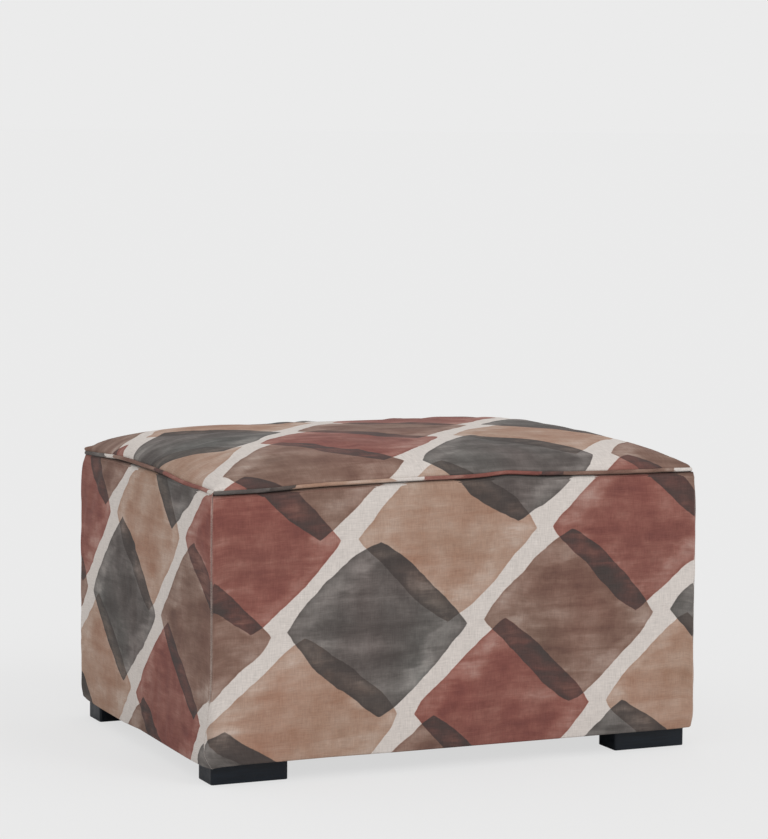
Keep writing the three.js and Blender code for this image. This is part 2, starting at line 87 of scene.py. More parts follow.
# A side: half its length, how far out it lies, its turn from the front, and how far from its middle
# its upright seams are, measured round the corners
Side = namedtuple("Side", "name half reach quarters end")
SIDES = [
    Side(name, half, reach, quarters, half - CORNER + CORNER * QUARTER / 2)
    for name, half, reach, quarters in (
        ("front", HALF_X, HALF_Y, 0),
        ("right", HALF_Y, HALF_X, 1),
        ("back", HALF_X, HALF_Y, 2),
        ("left", HALF_Y, HALF_X, 3),
    )
]
CORNERS = ("front_right", "back_right", "back_left", "front_left")  # at the right end of each side

# Where this stool's seam runs higher or lower: places in plan, rises and spreads
SEAM_UNEVEN = np.array(
    [
        (62, -224, 2.8, 30, 40),
        (-235, -224, -1.3, 40, 40),
        (301, -224, 2.8, 70, 70),
        (-301, 80, 1.8, 40, 60),
        (-301, -130, -2.6, 40, 55),
    ]
) * MM

# How its walls differ at each corner: how far they are drawn in just under the seam and from further
# down, how much they bulge low down, in millimetres, and up to which share of their height
CORNER_WALLS = np.array(
    [
        (0.5, 2.4, 1.0, 0.25),
        (1.2, 1.2, 1.0, 0.4),
        (4.6, 1.5, 1.4, 0.62),
        (1.2, 1.2, 1.0, 0.4),
    ]
)

# How its top differs there: the place in plan, a rise and its reach, and how far it is pushed out
CORNER_TOPS = np.array(
    [
        (300, -223, 3.6, 25, 2.0),
        (300, 223, 3.0, 40, 2.0),
        (-300, 223, 5.0, 52, 8.5),
        (-300, -223, 3.0, 30, 2.0),
    ]
) * MM

# How far its hem hangs below an even line, in millimetres: places along a side, and drops
HEM_DROPS = {
    "front": ((-305, -290, -270, -165, -80, 305), (2.6, 0.8, 0.0, -0.6, 0.0, 0.0)),
    "right": ((-228, 228), (0.0, 0.0)),
    "back": ((-305, 305), (0.0, 0.3)),
    "left": ((-228, -150, -66, -10, 60, 150, 200, 228), (0.3, 2.4, 3.3, 1.4, 2.7, 4.2, 4.0, 2.6)),
}

# The photograph's frame and camera
FRAME_WIDTH = 768
FRAME_HEIGHT = 839
FOCAL_PIXELS = 3031.2
CAMERA_AZIMUTH = math.radians(-23.784)
CAMERA_ELEVATION = math.radians(5.504)
CAMERA_ROLL = math.radians(0.38)
CAMERA_PLACE = Vector((-1461.97, -3322.53, 729.50)) * MM
CAMERA_REACH = 2000
SENSOR = 36


def placed(name, data):
    """A new object in the scene."""
    made = bpy.data.objects.new(name, data)
    bpy.context.scene.collection.objects.link(made)
    return made


def add_camera():
    """The camera of the photograph, from its fitted place, direction and focal length."""
    data = bpy.data.cameras.new("camera")
    data.sensor_width = SENSOR
    data.lens = FOCAL_PIXELS * SENSOR / max(FRAME_WIDTH, FRAME_HEIGHT)
    data.clip_end = CAMERA_REACH
    camera = placed("camera", data)
    camera.matrix_world = Matrix.Translation(CAMERA_PLACE)
    for angle, axis in ((CAMERA_AZIMUTH, "Z"), (QUARTER - CAMERA_ELEVATION, "X"), (CAMERA_ROLL, "Z")):
        camera.matrix_world @= Matrix.Rotation(angle, 4, axis)
    bpy.context.scene.camera = camera


class Net:
    """The nodes of a material or world, built up by calls that take sockets and values alike."""

    def __init__(self, owner):
        self.owner = owner
        owner.use_nodes = True
        self.tree = owner.node_tree
        self.tree.nodes.clear()

    def node(self, kind, inputs=None, **settings):
        """Adds a node with its inputs and settings, and gives its outputs."""
        made = self.tree.nodes.new("ShaderNode" + kind)
        for key, value in settings.items():
            setattr(made, key, value)
        for key, value in (inputs or {}).items():
            if isinstance(value, bpy.types.NodeSocket):
                self.tree.links.new(value, made.inputs[key])
            else:
                made.inputs[key].default_value = value
        return made.outputs

    def math(self, operation, *values):
        return self.node("Math", dict(enumerate(values)), operation=operation)[0]

    def plus(self, base, value, share):
        """The base and a share of the value."""
        return self.math("MULTIPLY_ADD", value, share, base)

    def swung(self, base, value, share):
        """The base, moved both ways by a value that lies round a half."""
        return self.plus(base, self.math("SUBTRACT", value, 0.5), share)

    def vector(self, operation, *values):
        return self.node("VectorMath", dict(enumerate(values)), operation=operation)[0]

    def scaled(self, vector, scale):
        return self.node("VectorMath", {0: vector, 3: scale}, operation="SCALE")[0]

    def join(self, x, y, z=0.0):
        return self.node("CombineXYZ", {0: x, 1: y, 2: z})[0]

    def part(self, vector):
        return self.node("SeparateXYZ", {0: vector})

    def place(self):
        return self.node("TexCoord")["Object"]

    def cloth(self):
        """The place on the flat cloth, in metres, which the cut pieces carry with them."""
        return self.node("Attribute", attribute_name="cloth")["Vector"]

    def noise(self, scale, detail=2.0, roughness=0.5, distortion=0.0, vector=None, output=0):
        """Noise over the object or a given vector, at one scale or at one for each direction."""
        vector = vector or self.place()
        if isinstance(scale, tuple):
            vector, scale = self.vector("MULTIPLY", vector, scale), 1
        inputs = {"Vector": vector, "Scale": scale, "Detail": detail}
        return self.node("TexNoise", {**inputs, "Roughness": roughness, "Distortion": distortion})[output]

    def cells(self, scale, feature="F1"):
        return self.node("TexVoronoi", {"Vector": self.place(), "Scale": scale}, feature=feature)[0]

    def weave(self, pitch, vector=None):
        """The crossing threads of a plain weave, and the phase of the upright ones."""
        across, along, _ = self.part(self.scaled(vector or self.place(), math.pi / pitch))
        return self.math("MULTIPLY", self.math("SINE", across), self.math("SINE", along)), across

    def remap(self, value, low, high, to_low=0.0, to_high=1.0, kind="LINEAR"):
        inputs = {0: value, 1: low, 2: high, 3: to_low, 4: to_high}
        return self.node("MapRange", inputs, interpolation_type=kind)[0]

    def mix(self, share, first, second):
        """A share of the way from a colour to a second, given one."""
        return self.node("Mix", {0: share, 6: first, 7: (*second, 1)}, data_type="RGBA")[2]

    def ramp(self, value, *stops):
        outputs = self.node("ValToRGB", {0: value})
        elements = self.tree.nodes[-1].color_ramp.elements
        while len(elements) < len(stops):
            elements.new(1)
        for element, (place, colour) in zip(elements, stops):
            element.position = place
            element.color = (*colour, 1)
        return outputs[0]

    def bump(self, height, distance, strength, **normal):
        return self.node("Bump", {"Height": height, "Distance": distance, "Strength": strength, **normal})[0]

    def output(self, shader, kind="Material"):
        self.node("Output" + kind, {0: shader[0]})
        return self.owner

    def surface(self, colour, roughness, normal, **more):
        inputs = {"Base Color": colour, "Roughness": roughness, "Normal": normal}
        inputs.update({key.replace("_", " "): value for key, value in more.items()})
        return self.output(self.node("BsdfPrincipled", inputs))


def material(name):
    """The nodes of a new material."""
    return Net(bpy.data.materials.new(name))


def linear(*levels):
    """A colour given in display levels from 0 to 255, as the linear light that shaders use."""
    shares = [level / 255 for level in levels]
    return tuple(s / 12.92 if s <= 0.04045 else ((s + 0.055) / 1.055) ** 2.4 for s in shares)


# Light and surroundings. A matt surface facing the key light shows about its own colour.
BACKGROUND = (0.831, 0.831, 0.831, 1)
SKY = 0.83
KEY_TOWARDS = Vector((-0.09, 0.17, -0.14))
KEY_ANGLE = math.radians(24)
FLOOR_RADIUS = 600
FLOOR_GLOW = 0.78  # how much of the floor's colour the camera sees whatever falls on it
FLOOR_SIDES = 96


def add_world():
    """Even white light. The camera, gloss and clear pieces see the background instead."""
    bpy.context.scene.world = bpy.data.worlds.new("studio")
    net = Net(bpy.context.scene.world)
    rays = net.node("LightPath")
    seen = net.math("MAXIMUM", rays["Is Camera Ray"], rays["Is Glossy Ray"])
    seen = net.math("MAXIMUM", seen, rays["Is Transmission Ray"])
    light = net.node("Background", {"Color": (1, 1, 1, 1), "Strength": SKY})[0]
    shown = net.node("Background", {"Color": BACKGROUND})[0]
    net.output(net.node("MixShader", {0: seen, 1: light, 2: shown}), "World")


def add_key_light():
    data = bpy.data.lights.new("key", "SUN")
    data.energy = KEY_TOWARDS.length * math.pi
    data.angle = KEY_ANGLE
    placed("key", data).rotation_euler = KEY_TOWARDS.to_track_quat("-Z", "Y").to_euler()


def add_floor():
    """A pale floor. The camera sees part of its colour unshaded, so that it meets the background."""
    net = material("floor")
    share = net.math("MULTIPLY", net.node("LightPath")["Is Camera Ray"], FLOOR_GLOW)
    matt = net.node("BsdfDiffuse", {"Color": BACKGROUND})[0]
    glow = net.node("Emission", {"Color": BACKGROUND})[0]
    mesh = bpy.data.meshes.new("floor")
    turns = np.linspace(0, 2 * math.pi, FLOOR_SIDES + 1)[:-1]
    edge = [(FLOOR_RADIUS * math.cos(a), FLOOR_RADIUS * math.sin(a), 0) for a in turns]
    mesh.from_pydata(edge, [], [range(FLOOR_SIDES)])
    mesh.materials.append(net.output(net.node("MixShader", {0: share, 1: matt, 2: glow})))
    placed("floor", mesh)


# The print: soft lozenges in a half-drop repeat, in four washes on an oatmeal ground. A wash's colour
# is the one that it shows at its usual thickness. In all materials, noise has its scale in waves a metre.
GROUND = linear(206, 198, 192)
REPEAT = (244 * MM, 204 * MM)
LEAN = -70 / 204  # how far a row lies to the side of the one below, as a share of its height over it
LOZENGE = (111 * MM, 99 * MM)
LOZENGE_POWER = 1.14
TAUPE = linear(126, 99, 87)
CHARCOAL = linear(95, 90, 87)
TERRACOTTA = linear(134, 85, 75)
TAN = linear(164, 135, 118)
CELL_SHIFT = (7.3, 3.1, 0)  # how far apart in the noise two neighbours are taken from
SWAY = 22 * MM  # how far an outline wanders, in all
HAND = 0.03  # how unsteady it is, and how soft, as shares of the lozenge's size
SOFT = 0.007
STREAKED = (0.55, 0.98)  # a wash's thickness in its thin streaks and its thick ones
BLOTCHED = 1.3
POOLED_MIDDLE = 0.30
POOLED_RIM = 0.22
THINNEST = 0.42
THICKEST = 1.5
TINGED = 0.25
SECOND_THINNED = 0.10
OVERLAP_DEPTH = (-0.45, -0.25, -0.10)
DEEPEST = (-2.35, -2.45, -2.45)
DEEPEST_POWER = 6
THREAD = 1.05 * MM
PAINTED_SHADE_DEPTH = 0.6  # painted shade: how much darker the cloth is painted in the depth of the piped seam and on the piping's underside


def lozenges(net, cloth, origin, washes):
    """One of the two sets of lozenges: how thickly it lies at a place, and the depth of its colour."""
    to_right, upwards, _ = net.part(net.vector("SUBTRACT", cloth, (*origin, 0)))
    upright = net.join(net.plus(to_right, upwards, -LEAN), upwards)
    scaled = net.vector("DIVIDE", upright, (*REPEAT, 1))
    cell = net.vector("FLOOR", net.vector("ADD", scaled, (0.5, 0.5, 0)))
    local = net.vector("MULTIPLY", net.vector("SUBTRACT", scaled, cell), (*REPEAT, 1))
    to_right, upwards, _ = net.part(local)
    local = net.join(net.plus(to_right, upwards, LEAN), upwards)
    painted = net.vector("ADD", cloth, net.vector("MULTIPLY", cell, CELL_SHIFT))
    swayed = net.vector("SUBTRACT", net.noise(9, vector=painted, output=1), (0.5, 0.5, 0.5))
    local = net.vector("ADD", local, net.vector("MULTIPLY", swayed, (SWAY, SWAY, 0)))
    across, up, _ = net.part(net.vector("DIVIDE", net.vector("ABSOLUTE", local), (*LOZENGE, 1)))
    powers = [net.math("POWER", share, LOZENGE_POWER) for share in (across, up)]
    reach = net.math("POWER", net.math("ADD", *powers), 1 / LOZENGE_POWER)
    reach = net.swung(reach, net.noise(70, vector=painted), HAND)
    mask = net.remap(reach, 1 + SOFT, 1 - SOFT, kind="SMOOTHSTEP")
    rim = net.math("POWER", net.remap(reach, 0.90, 1.0), 3)
    brushed = net.noise((9, 30, 1), 4, 0.6, 0.6, painted)
    middle = net.remap(net.swung(reach, brushed, 0.9), 0.86, 0.66, kind="SMOOTHSTEP")
    streaks = net.noise((7, 55, 1), 5, 0.62, 0.5, painted)
    thickness = net.remap(streaks, 0.30, 0.70, *STREAKED)
    thickness = net.swung(thickness, net.noise(22, 4, 0.6, vector=painted), BLOTCHED)
    thickness = net.plus(thickness, middle, POOLED_MIDDLE)
    thickness = net.plus(thickness, rim, POOLED_RIM)
    thickness = net.math("MINIMUM", net.math("MAXIMUM", thickness, THINNEST), THICKEST)
    # How deeply each wash filters each colour of light, as the logarithm of what it lets through
    depths = [tuple(math.log(a / b) for a, b in zip(wash, GROUND)) for wash in washes]
    column, row, _ = net.part(cell)
    turn = net.math("PINGPONG", net.math("ADD", column, row), 1)
    depth = net.node("Mix", {0: turn, 4: depths[0], 5: depths[1]}, data_type="VECTOR")[1]
    tinge = net.swung(1.0, net.noise(8, vector=painted), TINGED)
    depth = net.vector("MULTIPLY", depth, net.join(1.0, tinge, tinge))
    return net.math("MULTIPLY", mask, thickness), depth


def printed_linen():
    """Plain-woven linen, with the print, the slubs in its threads, rubbed edges, and painted shade deep in
    the piped seam.
    """
    net = material("printed_linen")
    cloth = net.cloth()
    first, first_depth = lozenges(net, cloth, (0, 0), (TAUPE, CHARCOAL))
    half_drop = ((REPEAT[0] + LEAN * REPEAT[1]) / 2, REPEAT[1] / 2)
    second, second_depth = lozenges(net, cloth, half_drop, (TERRACOTTA, TAN))
    both = net.math("MULTIPLY", first, second)
    second = net.math("MULTIPLY", second, net.plus(1.0, first, -SECOND_THINNED))
    filtered = net.vector("ADD", net.scaled(first_depth, first), net.scaled(second_depth, second))
    filtered = net.vector("ADD", filtered, net.scaled(OVERLAP_DEPTH, both))
    passed = []
    for depth, deepest in zip(net.part(filtered), DEEPEST):
        over = net.math("POWER", net.math("DIVIDE", depth, deepest), DEEPEST_POWER)
        over = net.math("POWER", net.math("ADD", over, 1.0), 1 / DEEPEST_POWER)
        passed.append(net.math("EXPONENT", net.math("DIVIDE", depth, over)))
    colour = net.vector("MULTIPLY", net.join(*passed), GROUND)
    warp, weft = (net.noise(scale, 2, 0.6, vector=cloth) for scale in ((900, 70, 1), (70, 900, 1)))
    threads = net.math("ADD", warp, weft)
    colour = net.scaled(colour, net.remap(threads, 0.6, 1.4, 0.82, 1.18))
    # The cloth's third channel: above zero, rubbed wear at the upright seams; below zero, painted shade in
    # the piped seam and under the piping.
    edge = net.part(cloth)[2]
    rubbed = net.math("MAXIMUM", edge, 0.0)
    rubbed = net.math("MULTIPLY", rubbed, net.remap(threads, 0.8, 1.2, 0.15, 0.5))
    colour = net.mix(rubbed, colour, GROUND)
    # Painted shade: the colour is darkened where that channel is below zero.
    colour = net.scaled(colour, net.plus(1.0, net.math("MINIMUM", edge, 0.0), PAINTED_SHADE_DEPTH))
    roughness = net.remap(threads, 0.6, 1.4, 0.95, 0.82)
    normal = net.bump(net.weave(THREAD, cloth)[0], 0.03 * MM, 0.5)
    normal = net.bump(threads, 0.10 * MM, 0.8, Normal=normal)
    gloss = {"Specular_IOR_Level": 0.15, "Sheen_Weight": 0.03, "Sheen_Roughness": 0.5}
    return net.surface(colour, roughness, normal, **gloss)


def stained_wood():
    """Wood under a thin black stain, with its grain just raised and its gloss a little uneven."""
    net = material("stained_wood")
    grain = net.noise((22, 420, 420), 4, 0.65, 0.3)
    height = net.plus(grain, net.noise((160, 1500, 1500)), 0.5)
    colour = net.ramp(grain, (0.35, (0.0018, 0.0042, 0.0084)), (0.7, (0.0052, 0.0100, 0.0170)))
    roughness = net.remap(net.noise(60, 3), 0.3, 0.7, 0.36, 0.50)
    return net.surface(colour, roughness, net.bump(height, 0.12 * MM, 0.5), Specular_IOR_Level=0.28)


def timber(axis):
    """Planed pine, with its growth lines along the given axis."""
    net = material("timber_" + "xyz"[axis])
    lines = net.noise(tuple(4.0 if i == axis else 130.0 for i in range(3)), 3, 0.55, 0.6)
    fine = net.noise(tuple(14.0 if i == axis else 900.0 for i in range(3)))
    rings = net.plus(lines, net.noise(7), 0.35)
    early, late, darkest = linear(226, 194, 146), linear(205, 160, 104), linear(170, 118, 68)
    colour = net.ramp(rings, (0.45, early), (0.68, late), (0.82, darkest))
    colour = net.mix(net.remap(fine, 0.5, 0.8, 0.0, 0.25), colour, linear(150, 104, 62))
    roughness = net.remap(lines, 0.3, 0.7, 0.55, 0.72)
    return net.surface(colour, roughness, net.bump(net.math("ADD", lines, fine), 0.10 * MM, 0.5))


def hardboard():
    """Pressed brown fibre board, smooth, with a fleck of lighter fibres."""
    net = material("hardboard")
    flecks = net.noise((700, 700, 240), 3, 0.7)
    colour = net.ramp(flecks, (0.35, linear(94, 62, 38)), (0.7, linear(140, 100, 66)))
    colour = net.mix(net.remap(net.noise(18, 3), 0.3, 0.8, 0.0, 0.3), colour, linear(112, 82, 56))
    return net.surface(colour, 0.62, net.bump(flecks, 0.08 * MM, 0.5))


def foam():
    """Open-celled upholstery foam."""
    net = material("foam")
    cells = net.cells(620)
    colour = net.ramp(net.noise(12, 3), (0.3, linear(222, 204, 146)), (0.75, linear(238, 226, 182)))
    colour = net.mix(net.remap(cells, 0.25, 0.0, 0.0, 0.45), colour, linear(176, 152, 96))
    return net.surface(colour, 0.95, net.bump(cells, 0.5 * MM, 0.8))


def wadding():
    """White polyester wadding, a loft of fine crossing fibres."""
    net = material("polyester_wadding")
    fibres = net.noise((260, 900, 900), 4, 0.7, 1.5)
    colour = net.ramp(fibres, (0.3, linear(214, 213, 208)), (0.7, linear(244, 244, 240)))
    normal = net.bump(net.plus(fibres, net.noise(70, 4, 0.6), 2.0), 0.6 * MM, 0.7)
    return net.surface(colour, 0.97, normal, Sheen_Weight=0.3, Sheen_Roughness=0.6)


def woven(name, low, high, pitch, depth, roughness, stripe=None):
    """Coarse plain-woven cloth, between two colours, with threads of the given pitch."""
    net = material(name)
    weave, turns = net.weave(pitch)
    threads = net.math("ADD", net.noise((900, 60, 60), 3, 0.6), net.noise((60, 900, 60), 3, 0.6))
    level = net.plus(net.math("MULTIPLY", threads, 0.5), weave, 0.10)
    colour = net.ramp(level, (0.3, low), (0.7, high))
    if stripe is not None:
        band = net.math("SINE", net.math("MULTIPLY", turns, 0.08))
        colour = net.mix(net.remap(band, 0.80, 0.86, 0.0, 0.5), colour, stripe)
    return net.surface(colour, roughness, net.bump(level, depth, 0.8))


def lining():
    """Black non-woven lining, with the dimples of its bonding and a fine matted fibre."""
    net = material("lining")
    fibres = net.noise((500, 1400, 500), 4, 0.7, 2.0)
    level = net.plus(net.math("MULTIPLY", fibres, 0.7), net.cells(700, "SMOOTH_F1"), 0.6)
    colour = net.ramp(level, (0.3, linear(20, 20, 22)), (0.8, linear(44, 44, 47)))
    roughness = net.remap(fibres, 0.3, 0.7, 0.72, 0.92)
    return net.surface(colour, roughness, net.bump(level, 0.12 * MM, 0.8))


def moulded(name, colour, roughness):
    """Moulded plastic with a fine spark-eroded texture, a little scuffed."""
    net = material(name)
    scuffs = net.noise((60, 300, 60), 4, 0.6, 1.0)
    colour = net.scaled(colour, net.remap(scuffs, 0.35, 0.7, 0.85, 1.25))
    roughness = net.remap(scuffs, 0.3, 0.7, roughness, roughness + 0.2)
    return net.surface(colour, roughness, net.bump(net.noise(2600, 3, 0.7), 0.04 * MM, 0.6))


def plated(name, colour):
    """Zinc-plated steel, a little cloudy."""
    net = material(name)
    clouds = net.noise(240, 4, 0.6)
    colour = net.scaled(colour, net.remap(clouds, 0.3, 0.7, 0.8, 1.08))
    roughness = net.remap(clouds, 0.3, 0.7, 0.28, 0.46)
    normal = net.bump(net.noise((300, 300, 3200)), 0.02 * MM, 0.5)
    return net.surface(colour, roughness, normal, Metallic=1.0)


def twisted(name, low, high, pitch):
    """Twisted yarn or cord: slanting strands with a fine fuzz."""
    net = material(name)
    along, girth, _ = net.part(net.cloth())
    turns = net.math("MULTIPLY", net.math("ADD", along, girth), 2 * math.pi / pitch)
    level = net.plus(net.noise(2200, 3, 0.7), net.math("SINE", turns), 0.30)
    colour = net.ramp(level, (0.25, low), (0.75, high))
    return net.surface(colour, 0.85, net.bump(level, 0.08 * MM, 0.8))


# Making pieces from points


def mesh_piece(name, points, faces, paint, cloth=None, smooth=True):
    """A new piece from points and faces, riding on the stool's one body."""
    mesh = bpy.data.meshes.new(name)
    mesh.from_pydata(np.asarray(points).tolist(), [], faces)
    mesh.materials.append(paint)
    mesh.polygons.foreach_set("use_smooth", [smooth] * len(mesh.polygons))
    if cloth is not None:
        carried = mesh.attributes.new("cloth", "FLOAT_VECTOR", "POINT")
        carried.data.foreach_set("vector", cloth.astype(np.float32).ravel())
    piece = placed(name, mesh)
    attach(piece, "root")
    return piece


def grid_faces(rows, columns, rows_join=False, columns_join=False, first=0):
    """The quads of a grid of points in reading order, whose rows and columns may join up."""
    index = first + np.arange(rows * columns).reshape(rows, columns)
    if rows_join:
        index = np.vstack([index, index[:1]])
    if columns_join:
        index = np.hstack([index, index[:, :1]])
    corners = (index[:-1, :-1], index[:-1, 1:], index[1:, 1:], index[1:, :-1])
    return np.stack(corners, -1).reshape(-1, 4).tolist()


def rod_faces(rings, sides, first):
    """The faces of a closed rod, from the number of its first point."""
    last = first + (rings - 1) * sides
    ends = [list(range(first, first + sides))[::-1], list(range(last, last + sides))]
    return grid_faces(rings, sides, columns_join=True, first=first) + ends


def grid_piece(name, node, points, cloth, paint, thickness=None):
    """A piece for a CAD node: a sheet with its thickness inwards, or without one a closed ring."""
    rows, columns = points.shape[:2]
    closed = thickness is None
    faces = grid_faces(rows, columns, closed, closed)
    if closed:
        faces = [face[::-1] for face in faces]
    piece = mesh_piece(name, points.reshape(-1, 3), faces, paint, cloth.reshape(-1, 3))
    if not closed:
        solid = piece.modifiers.new("thickness", "SOLIDIFY")
        solid.thickness = thickness
        solid.offset = -1
        solid.use_even_offset = False
    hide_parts(node)
    return piece


def crowded(length, step, near):
    """Places from 0 to a length: the near ones at both ends, and even steps between."""
    count = round((length - 2 * near[-1]) / step) + 1
    middle = np.linspace(near[-1], length - near[-1], count)
    return np.concatenate([near, middle[1:-1], length - near[::-1]])


def wavering(along, spacing, seed):
    """A smooth random line between -1 and 1, with a new value at each spacing."""
    shares = (along - along.min()) / spacing
    values = np.random.default_rng(seed).uniform(-1, 1, int(shares.max()) + 3)
    first = shares.astype(int)
    rest = shares - first
    rest = rest * rest * (3 - 2 * rest)
    return values[first] * (1 - rest) + values[first + 1] * rest


def bell(distance, reach):
    """1 at no distance, fading out smoothly over the reach."""
    return np.exp(-((distance / reach) ** 2))


def stacked(*parts):
    """Points from their coordinates, each an array or one number for all."""
    return np.stack(np.broadcast_arrays(*parts), -1)


def run_lengths(points, axis):
    """How far each point of a grid lies along its row or column, measured over the surface."""
    steps = np.diff(points, axis=axis, prepend=np.take(points, [0], axis))
    return np.cumsum(np.linalg.norm(steps, axis=-1), axis)


def unit(vectors):
    """Vectors of length 1 in the same directions."""
    return vectors / np.maximum(np.linalg.norm(vectors, axis=-1, keepdims=True), 1e-12)


def outward(points):
    """The unit normals of a grid of points."""
    return unit(np.cross(np.gradient(points, axis=1), np.gradient(points, axis=0)))


# The covers' shapes, by the part's own formulas


def seam_at(x, y):
    """The height of the piped seam over a place in plan."""
    across = np.minimum(np.abs(x) / SEAM_X, 1)
    back = np.minimum(np.abs(y) / SEAM_Y, 1)
    height = SEAM_Z + SEAM_ARCH * (1 - (across * back) ** ARCH_POWER)
    for at_x, at_y, rise, spread_x, spread_y in SEAM_UNEVEN:
        height = height + rise * bell(x - at_x, spread_x) * bell(y - at_y, spread_y)
    return height


def crown_share(x, y):
    """How far the crown has risen over a place in plan."""
    level = (1 - np.abs(x / SEAM_X) ** CROWN_POWER_X) * (1 - np.abs(y / SEAM_Y) ** CROWN_POWER_Y)
    return np.maximum(level, 0) ** CROWN_POWER


def wall_inset(side, share, along):
    """A side's inset: drawn in just under the seam, swelling high up, and full low down."""
    middle = 1 - np.abs(along / side.end) ** BULGE_SPREAD
    swell = BULGE * (CORNER_BULGE_SHARE + (1 - CORNER_BULGE_SHARE) * middle)
    part_way = (1 + along / side.end) / 2
    ends = zip(CORNER_WALLS[side.quarters - 1], CORNER_WALLS[side.quarters])
    pinch, draw, full, reach = (a + (b - a) * part_way for a, b in ends)
    low = full / (1 + (share / reach) ** FULL_POWER)
    drawn = pinch * share**PINCH_POWER + draw * share**DRAW_POWER
    return (drawn - low) * MM - swell * np.sin(math.pi * share**BULGE_POWER)


def turned(points, quarters):
    """Points turned round the upright axis by a number of quarter turns."""
    angle = quarters * QUARTER
    c, s = round(math.cos(angle)), round(math.sin(angle))
    x, y, z = np.moveaxis(points, -1, 0)
    return stacked(c * x - s * y, s * x + c * y, z)


def side_place(side, along, inset, height):
    """Points of a side before its turn from the front: round its corners and in by an inset."""
    straight = side.half - CORNER
    deeper = np.maximum(inset + SHARP - CORNER, 0)
    over = np.maximum(np.abs(along) - straight, 0)
    angle = np.minimum(over / CORNER, QUARTER)
    beyond = over - angle * CORNER
    radius = np.maximum(CORNER - inset, SHARP)
    level = np.minimum(np.abs(along), straight) * (1 - deeper / straight)
    x = np.sign(along) * (level + radius * np.sin(angle))
    y = beyond - (side.reach - CORNER - deeper) - radius * np.cos(angle)
    return stacked(x, y, height)


LAYER_STEP = 12 * MM


def ring(inset, step=LAYER_STEP, corner_steps=2, least_round=SHARP):
    """Points round the stool at an inset, at the seam's height, and the way out at each."""
    places, ways = [], []
    radius = max(CORNER - inset, least_round)
    for side in SIDES:
        straight = side.half - inset - radius
        count = round(2 * (side.half - CORNER) / step)
        corner = np.linspace(0, QUARTER / 2, corner_steps + 1)
        angle = np.concatenate([-corner[::-1], np.zeros(count - 1), corner[:-1]])
        level = np.pad(np.linspace(-straight, straight, count + 1), corner_steps, mode="edge")[:-1]
        way = stacked(np.sin(angle), -np.cos(angle), 0)
        middle = stacked(level, -(side.reach - inset - radius), 0)
        places.append(turned(middle + radius * way, side.quarters))
        ways.append(turned(way, side.quarters))
    points, out = np.concatenate(places), np.concatenate(ways)
    points[:, 2] = seam_at(points[:, 0], points[:, 1])
    return points, out


# Cloth simulation of a panel, for the small folds that its pull leaves

CLOTH_STEP = 6 * MM
CLOTH_FRAMES = 20
CLOTH_SETTINGS = {
    "tension_stiffness": 40,
    "compression_stiffness": 40,
    "shear_stiffness": 40 / 3,
    "bending_stiffness": 0.6,
    "use_pressure": True,
    "uniform_pressure_force": 4,
    "vertex_group_mass": "pinned",
    "shrink_min": -0.012,
}
RIPPLE_REACH = 7  # points of the grid over which the simulated swell is taken out
RIPPLE_CAP = 1.6 * MM
RIPPLE_DIP = 0.7 * MM
START_NOISE = 0.6 * MM
START_NOISE_REACH = 2


def blurred(field, reach):
    """A field on a grid, averaged over its neighbours by a bell curve."""
    span = np.arange(-2 * reach, 2 * reach + 1)
    weights = bell(span, reach)
    weights /= weights.sum()
    for axis in (0, 1):
        padding = [(0, 0), (0, 0)]
        padding[axis] = (2 * reach, 2 * reach)
        padded = np.pad(field, padding, mode="reflect", reflect_type="odd")
        field = np.apply_along_axis(np.convolve, axis, padded, weights, mode="valid")
    return field


def simulated_folds(points, seed):
    """The folds that a pinned panel takes under pressure, out from its surface, without its swell.

    The swell is left to the formulas above, because they follow the photograph.
    """
    rows, columns = points.shape[:2]
    normals = outward(points)
    rough = blurred(np.random.default_rng(seed).normal(size=(rows, columns)), START_NOISE_REACH)
    inside = np.zeros((rows, columns), bool)
    inside[1:-1, 1:-1] = True
    start = points + normals * (inside * START_NOISE * rough / rough.std())[..., None]
    mesh = bpy.data.meshes.new("cloth_trial")
    mesh.from_pydata(start.reshape(-1, 3).tolist(), [], grid_faces(rows, columns))
    panel = placed("cloth_trial", mesh)
    panel.vertex_groups.new(name="pinned").add(np.flatnonzero(~inside).tolist(), 1.0, "REPLACE")
    cloth = panel.modifiers.new("cloth", "CLOTH")
    cloth.collision_settings.use_collision = False
    cloth.point_cache.frame_end = CLOTH_FRAMES
    for setting, value in CLOTH_SETTINGS.items():
        setattr(cloth.settings, setting, value)
    cloth.settings.effector_weights.gravity = 0
    scene = bpy.context.scene
    for number in range(1, CLOTH_FRAMES + 1):
        scene.frame_set(number)
    shown = panel.evaluated_get(bpy.context.evaluated_depsgraph_get())
    moved = np.zeros(rows * columns * 3)
    shown.data.vertices.foreach_get("co", moved)
    bpy.data.objects.remove(panel)
    bpy.data.meshes.remove(mesh)
    scene.frame_set(1)
    swell = ((moved.reshape(points.shape) - points) * normals).sum(-1)
    folds = swell - blurred(swell, RIPPLE_REACH)
    most = np.where(folds > 0, RIPPLE_CAP, RIPPLE_DIP)
    return inside * most * np.tanh(folds / most)


def sampled(field, rows, columns):
    """A field on an even grid, read at rows and columns given as shares of its sides."""
    down, over = (np.linspace(0, 1, count) for count in field.shape)
    read = np.stack([np.interp(columns, over, line) for line in field])
    return np.stack([np.interp(rows, down, line) for line in read.T], -1)


# The side panels

